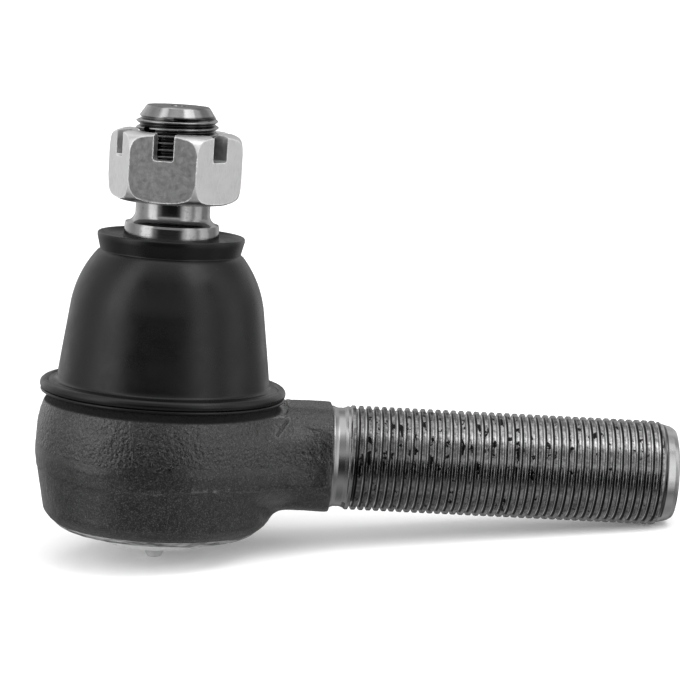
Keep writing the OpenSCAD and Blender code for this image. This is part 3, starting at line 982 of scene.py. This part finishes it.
def make_spring(name, node, radius, turns, wire):
    """Coil as high as a CAD spring; radius is the coil's at its (low, high) end, wire the wire's own."""
    sides, per_turn = 12, 40
    low, high = (corner[2] for corner in node_box(node))
    share = np.linspace(0, 1, turns * per_turn + 1)
    turn = TAU * turns * share[:, None]
    around = np.arange(sides) * TAU / sides
    r = radius[0] + (radius[1] - radius[0]) * share[:, None] + wire * np.cos(around)
    z = low + wire + (high - low - 2 * wire) * share[:, None] + wire * np.sin(around)
    points = np.stack([r * np.cos(turn), r * np.sin(turn), z], -1).reshape(-1, 3)
    faces = [(i + j, i + (j + 1) % sides, i + sides + (j + 1) % sides, i + sides + j)
             for i in range(0, (len(share) - 1) * sides, sides) for j in range(sides)]
    last = (len(share) - 1) * sides
    faces += [tuple(range(sides)), tuple(range(last + sides - 1, last - 1, -1))]
    spring = new_object(name, points, faces)
    fix_normals(spring)
    spring.data.shade_smooth()
    sharpen(spring, 50)
    return spring


def squash_spring(spring):
    """Gives a spring its own copy of its mesh; it is not shortened."""
    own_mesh(spring)


# ---------------------------------------------------------------- camera, floor and light

# Angles in degrees, lengths in millimetres
CAMERA_AZIMUTH, CAMERA_ELEVATION, CAMERA_ROLL = 4.43, 8.16, 3.65
CAMERA_DISTANCE, CAMERA_ACROSS, CAMERA_UP = 829.3, 51.82, 26.64
LENS, SENSOR = 156.5897143, 36.0


def camera_axes():
    """Right, up and forward unit vectors of the camera in the shared frame."""
    a, e, r = (math.radians(v) for v in (CAMERA_AZIMUTH, CAMERA_ELEVATION, CAMERA_ROLL))
    forward = Vector((math.sin(a) * math.cos(e), math.cos(a) * math.cos(e), -math.sin(e)))
    right = forward.cross(Vector((0, 0, 1))).normalized()
    up = right.cross(forward)
    return math.cos(r) * right + math.sin(r) * up, math.cos(r) * up - math.sin(r) * right, forward


def make_camera():
    """The scene's camera, CAMERA_DISTANCE from a point across and up from the ball's centre."""
    right, up, forward = camera_axes()
    data = bpy.data.cameras.new("camera")
    data.sensor_width, data.lens = SENSOR, LENS
    data.clip_start, data.clip_end = 0.01, 50
    camera = bpy.data.objects.new("camera", data)
    bpy.context.collection.objects.link(camera)
    place = (right * CAMERA_ACROSS + up * CAMERA_UP - forward * CAMERA_DISTANCE) * MM
    camera.matrix_world = Matrix((
        (right.x, up.x, -forward.x, place.x), (right.y, up.y, -forward.y, place.y),
        (right.z, up.z, -forward.z, place.z), (0, 0, 0, 1)))
    bpy.context.scene.camera = camera


def make_floor():
    """Pale floor that touches the nipple and the end of the shank, as the real part lies."""
    nipple_z = NIPPLE_LOW[2]
    slope = math.atan2(-SHANK_R - nipple_z, SHANK_END_X - END_CONE)
    size, z0 = 14000, nipple_z - 0.05
    dx, dz = size * math.cos(slope), size * math.sin(slope)
    verts = [(-dx, -size, z0 - dz), (dx, -size, z0 + dz), (dx, size, z0 + dz), (-dx, size, z0 - dz)]
    floor = new_object("floor", verts, [(0, 1, 2, 3)], smooth=False)
    floor.visible_glossy = False
    mat = bpy.data.materials.new("pale_floor")
    mat.use_nodes = True
    shader = mat.node_tree.nodes["Principled BSDF"]
    shader.inputs["Base Color"].default_value = (0.92, 0.92, 0.92, 1)
    shader.inputs["Roughness"].default_value = 1.0
    shader.inputs["Specular IOR Level"].default_value = 0.0
    shader.inputs["Emission Color"].default_value = (1, 1, 1, 1)
    shader.inputs["Emission Strength"].default_value = 0.1
    floor.data.materials.append(mat)
    return floor


# The room that the part reflects, as (place, brightness). SIDE_LIGHT goes round it, in degrees from the
# camera and positive to the right; SIDE_HEIGHT is its share from straight down (-1) to straight up (1).
# FRONT_HEIGHT is the least brightness at each height, all round.
SIDE_LIGHT = [(-180, 0.2), (-165, 0.5), (-150, 0.95), (-134, 0.8), (-104, 0.55), (-84, 0.7), (-68, 1.9),
              (-52, 1.7), (-40, 0.3), (-26, 0.03), (0, 0.01), (14, 0.012), (24, 0.08), (34, 0.8), (44, 1.3),
              (56, 1.0), (70, 0.45), (82, 1.05), (98, 0.95), (110, 0.4), (130, 0.4), (150, 0.7), (165, 0.5),
              (180, 0.2)]
SIDE_HEIGHT = [(-1.0, 0.0), (-0.6, 0.15), (-0.25, 0.6), (-0.05, 1.0), (0.75, 1.0), (0.95, 0.9)]
FRONT_HEIGHT = [(-1.0, 0.2), (-0.92, 0.3), (-0.8, 0.4), (-0.62, 0.28), (-0.48, 0.10), (-0.32, 0.015),
                (-0.05, 0.012), (0.05, 0.04), (0.14, 0.2), (0.26, 0.6), (0.36, 0.6), (0.5, 0.4), (0.68, 0.3),
                (0.82, 0.5), (0.95, 1.2), (1.0, 1.2)]

# Ramps hold levels up to 1, so levels are divided by this going in and multiplied coming out
ROOM_SCALE = 1.8


def lookup(tree, value, stops, low, high):
    """A smooth curve through (place, level) stops between low and high; its levels are over ROOM_SCALE."""
    scaled = tree.nodes.new("ShaderNodeMapRange")
    scaled.inputs["From Min"].default_value, scaled.inputs["From Max"].default_value = low, high
    tree.links.new(value, scaled.inputs["Value"])
    ramp = tree.nodes.new("ShaderNodeValToRGB")
    ramp.color_ramp.interpolation = "EASE"
    fill_ramp(ramp, [((place - low) / (high - low), level / ROOM_SCALE) for place, level in stops])
    tree.links.new(scaled.outputs["Result"], ramp.inputs["Fac"])
    return ramp.outputs["Color"]


def room_light(tree):
    """Brightness of the room in the direction that a ray from the part goes."""
    turn = tree.nodes.new("ShaderNodeMapping")
    turn.inputs["Rotation"].default_value = (0, 0, math.radians(CAMERA_AZIMUTH))
    tree.links.new(tree.nodes.new("ShaderNodeTexCoord").outputs["Generated"], turn.inputs["Vector"])
    split = tree.nodes.new("ShaderNodeSeparateXYZ")
    tree.links.new(turn.outputs["Vector"], split.inputs["Vector"])
    front = math_node(tree, "MULTIPLY", split.outputs["Y"], -1.0)
    azimuth = math_node(tree, "ARCTAN2", split.outputs["X"], front)
    side = lookup(tree, azimuth, [(math.radians(a), v) for a, v in SIDE_LIGHT], -math.pi, math.pi)
    side_height = lookup(tree, split.outputs["Z"], SIDE_HEIGHT, -1, 1)
    front_height = lookup(tree, split.outputs["Z"], FRONT_HEIGHT, -1, 1)
    sides = math_node(tree, "MULTIPLY", math_node(tree, "MULTIPLY", side, side_height), ROOM_SCALE)
    return math_node(tree, "MULTIPLY", math_node(tree, "MAXIMUM", sides, front_height), ROOM_SCALE)


def make_room():
    """White surroundings for the camera, a room of soft boxes for the part."""
    world = bpy.data.worlds.new("studio")
    bpy.context.scene.world = world
    world.use_nodes = True
    tree = world.node_tree
    part_light = tree.nodes["Background"]
    part_light.inputs["Color"].default_value = (1, 1, 1, 1)
    tree.links.new(room_light(tree), part_light.inputs["Strength"])
    backdrop = tree.nodes.new("ShaderNodeBackground")
    backdrop.inputs["Color"].default_value = (1, 1, 1, 1)
    backdrop.inputs["Strength"].default_value = 1.05
    mix = tree.nodes.new("ShaderNodeMixShader")
    tree.links.new(tree.nodes.new("ShaderNodeLightPath").outputs["Is Camera Ray"], mix.inputs["Fac"])
    tree.links.new(part_light.outputs["Background"], mix.inputs[1])
    tree.links.new(backdrop.outputs["Background"], mix.inputs[2])
    tree.links.new(mix.outputs["Shader"], tree.nodes["World Output"].inputs["Surface"])


def new_lamp(name, kind, energy):
    """A light in the scene, and its object."""
    data = bpy.data.lights.new(name, kind)
    data.energy = energy
    lamp = bpy.data.objects.new(name, data)
    bpy.context.collection.objects.link(lamp)
    return data, lamp


def floor_light(floor):
    """Soft sun that shines on the floor only, so that the part throws its shadow behind itself."""
    data, lamp = new_lamp("floor_light", "SUN", 2.9)
    data.angle = math.radians(80)
    lamp.rotation_euler = (math.radians(48), 0, 0)
    lamp.visible_glossy = False
    only_floor = bpy.data.collections.new("only_floor")
    only_floor.objects.link(floor)
    lamp.light_linking.receiver_collection = only_floor


def right_box():
    """High soft box to the right of the camera, for the sheen on shoulders and chamfers."""
    a, e = math.radians(50 + CAMERA_AZIMUTH), math.radians(58)
    out = Vector((math.sin(a) * math.cos(e), -math.cos(a) * math.cos(e), math.sin(e)))
    data, lamp = new_lamp("right_box", "AREA", 0.6)
    data.shape, data.size, data.size_y = "RECTANGLE", 0.35, 0.35
    lamp.location = out * 0.9
    lamp.rotation_euler = (-out).to_track_quat("-Z", "Y").to_euler()


# ---------------------------------------------------------------- assembly


def dress(obj, material, body, replaces):
    """Gives a piece its material, attaches it to its body unless body is none, and hides the CAD nodes that
    it replaces.
    """
    obj.data.materials.clear()
    obj.data.materials.append(material)
    if body:
        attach(obj, body)
    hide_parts(*replaces)


def dress_frame_node(node, material):
    """Gives a CAD node a better material in its own slot."""
    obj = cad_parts[node]
    for material_slot in obj.material_slots:
        material_slot.material = material


make_camera()
make_room()
floor_light(make_floor())
right_box()
bpy.context.scene.view_settings.view_transform = "Standard"

rubber = rubber_material("moulded_rubber")
zinc = zinc_material()
ground = turned_material("ground_steel", 0.55, 0.2)
wire = turned_material("spring_wire", 0.16, 0.35, 2500)
pressed = turned_material("pressed_ring", 0.38, 0.3, 4000)

dress(make_forging(), forging_material(), "socket", ["housing"])
dress(make_lip(), lip_material(), "socket", ["housing"])
dress(make_shank(), thread_material(), "socket", ["housing"])
dress(make_cover(), zinc, "socket", ["cover_plate"])
dress(make_nipple(), zinc, "socket", ["grease_fitting"])
dress(make_stud(), turned_material("turned_stud", 0.41, 0.12, root=0.07), "stud",
      ["ball_stud"])
dress(make_nut(), nut_material(), "nut", ["slotted_nut"])

bell, collar = make_boot()
dress(bell, rubber, None, ["dust_boot"])
dress(collar, rubber, None, ["dust_boot"])
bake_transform(bell)
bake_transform(collar)

seat_spring = make_spring("seat_spring", "preload_spring", radius=(10.8, 16), turns=2, wire=1.45)
dress(seat_spring, wire, "socket", ["preload_spring"])
squash_spring(seat_spring)
nipple_spring = make_spring("nipple_spring", "fitting_spring", radius=(0.95, 0.95), turns=5, wire=0.2)
dress(nipple_spring, wire, "socket", ["fitting_spring"])
squash_spring(nipple_spring)

for node, material in {"upper_bearing": ground, "lower_bearing": ground, "fitting_ball": ground,
                       "boot_base_ring": pressed, "boot_top_ring": pressed,
                       "cover_seal": rubber_material("seal_rubber")}.items():
    dress_frame_node(node, material)
